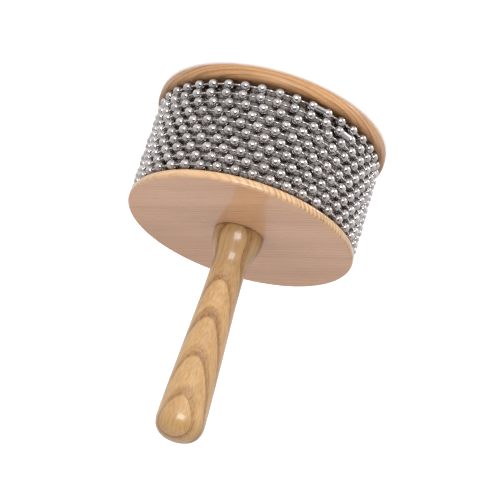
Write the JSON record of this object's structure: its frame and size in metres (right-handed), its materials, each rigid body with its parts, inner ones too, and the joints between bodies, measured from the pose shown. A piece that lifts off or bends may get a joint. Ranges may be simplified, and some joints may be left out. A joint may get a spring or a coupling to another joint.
{
  "type": "cabasa",
  "caption": "Hand-held percussion drum: a wooden head wrapped in loops of steel ball chain between two wooden discs, on a turned wooden handle.",
  "frame": {"origin": "centre of the flat face of the end disc, on which the cabasa stands", "axes": "+Z along the axis of the head and handle, from the end disc towards the handle's tip; +Y towards the seam of the steel sleeve"},
  "size_m": [0.1171, 0.117, 0.1709],
  "materials": {
    "ash_handle": "clear gloss lacquer",
    "disc_wood": "clear gloss lacquer",
    "end_disc_wood": "clear satin lacquer",
    "core_wood": "sanded, unfinished",
    "sleeve_steel": "embossed, dark",
    "tack_steel": "plain",
    "bead_steel": "polished nickel plate",
    "link_steel": "nickel plate",
    "clasp_steel": "polished nickel plate",
    "bolt_steel": "zinc plate",
    "insert_brass": "machined"
  },
  "bodies": {
    "drum": {"handle": "ash_handle", "handle_insert": "insert_brass", "handle_disc": "disc_wood", "end_disc": "end_disc_wood", "core": "core_wood", "sleeve": "sleeve_steel", "sleeve_tacks": "tack_steel", "bolt_washer": "bolt_steel", "through_bolt": "bolt_steel"},
    "loop_01": {"loop_01_beads": "bead_steel", "loop_01_links": "link_steel", "loop_01_clasp": "clasp_steel"},
    "loop_02": {"loop_02_beads": "bead_steel", "loop_02_links": "link_steel", "loop_02_clasp": "clasp_steel"},
    "loop_03": {"loop_03_beads": "bead_steel", "loop_03_links": "link_steel", "loop_03_clasp": "clasp_steel"},
    "loop_04": {"loop_04_beads": "bead_steel", "loop_04_links": "link_steel", "loop_04_clasp": "clasp_steel"},
    "loop_05": {"loop_05_beads": "bead_steel", "loop_05_links": "link_steel", "loop_05_clasp": "clasp_steel"},
    "loop_06": {"loop_06_beads": "bead_steel", "loop_06_links": "link_steel", "loop_06_clasp": "clasp_steel"},
    "loop_07": {"loop_07_beads": "bead_steel", "loop_07_links": "link_steel", "loop_07_clasp": "clasp_steel"},
    "loop_08": {"loop_08_beads": "bead_steel", "loop_08_links": "link_steel", "loop_08_clasp": "clasp_steel"},
    "loop_09": {"loop_09_beads": "bead_steel", "loop_09_links": "link_steel", "loop_09_clasp": "clasp_steel"},
    "loop_10": {"loop_10_beads": "bead_steel", "loop_10_links": "link_steel", "loop_10_clasp": "clasp_steel"}
  },
  "joints": [
    {"name": "loop_01_spin", "type": "hinge", "parent": "drum", "child": "loop_01", "pos_m": [0, 0, 0.0304], "axis": [0, 0, 1], "continuous": true},
    {"name": "loop_02_spin", "type": "hinge", "parent": "drum", "child": "loop_02", "pos_m": [0, 0, 0.0304], "axis": [0, 0, 1], "continuous": true},
    {"name": "loop_03_spin", "type": "hinge", "parent": "drum", "child": "loop_03", "pos_m": [0, 0, 0.0304], "axis": [0, 0, 1], "continuous": true},
    {"name": "loop_04_spin", "type": "hinge", "parent": "drum", "child": "loop_04", "pos_m": [0, 0, 0.0304], "axis": [0, 0, 1], "continuous": true},
    {"name": "loop_05_spin", "type": "hinge", "parent": "drum", "child": "loop_05", "pos_m": [0, 0, 0.0304], "axis": [0, 0, 1], "continuous": true},
    {"name": "loop_06_spin", "type": "hinge", "parent": "drum", "child": "loop_06", "pos_m": [0, 0, 0.0304], "axis": [0, 0, 1], "continuous": true},
    {"name": "loop_07_spin", "type": "hinge", "parent": "drum", "child": "loop_07", "pos_m": [0, 0, 0.0304], "axis": [0, 0, 1], "continuous": true},
    {"name": "loop_08_spin", "type": "hinge", "parent": "drum", "child": "loop_08", "pos_m": [0, 0, 0.0304], "axis": [0, 0, 1], "continuous": true},
    {"name": "loop_09_spin", "type": "hinge", "parent": "drum", "child": "loop_09", "pos_m": [0, 0, 0.0304], "axis": [0, 0, 1], "continuous": true},
    {"name": "loop_10_spin", "type": "hinge", "parent": "drum", "child": "loop_10", "pos_m": [0, 0, 0.0304], "axis": [0, 0, 1], "continuous": true}
  ]
}
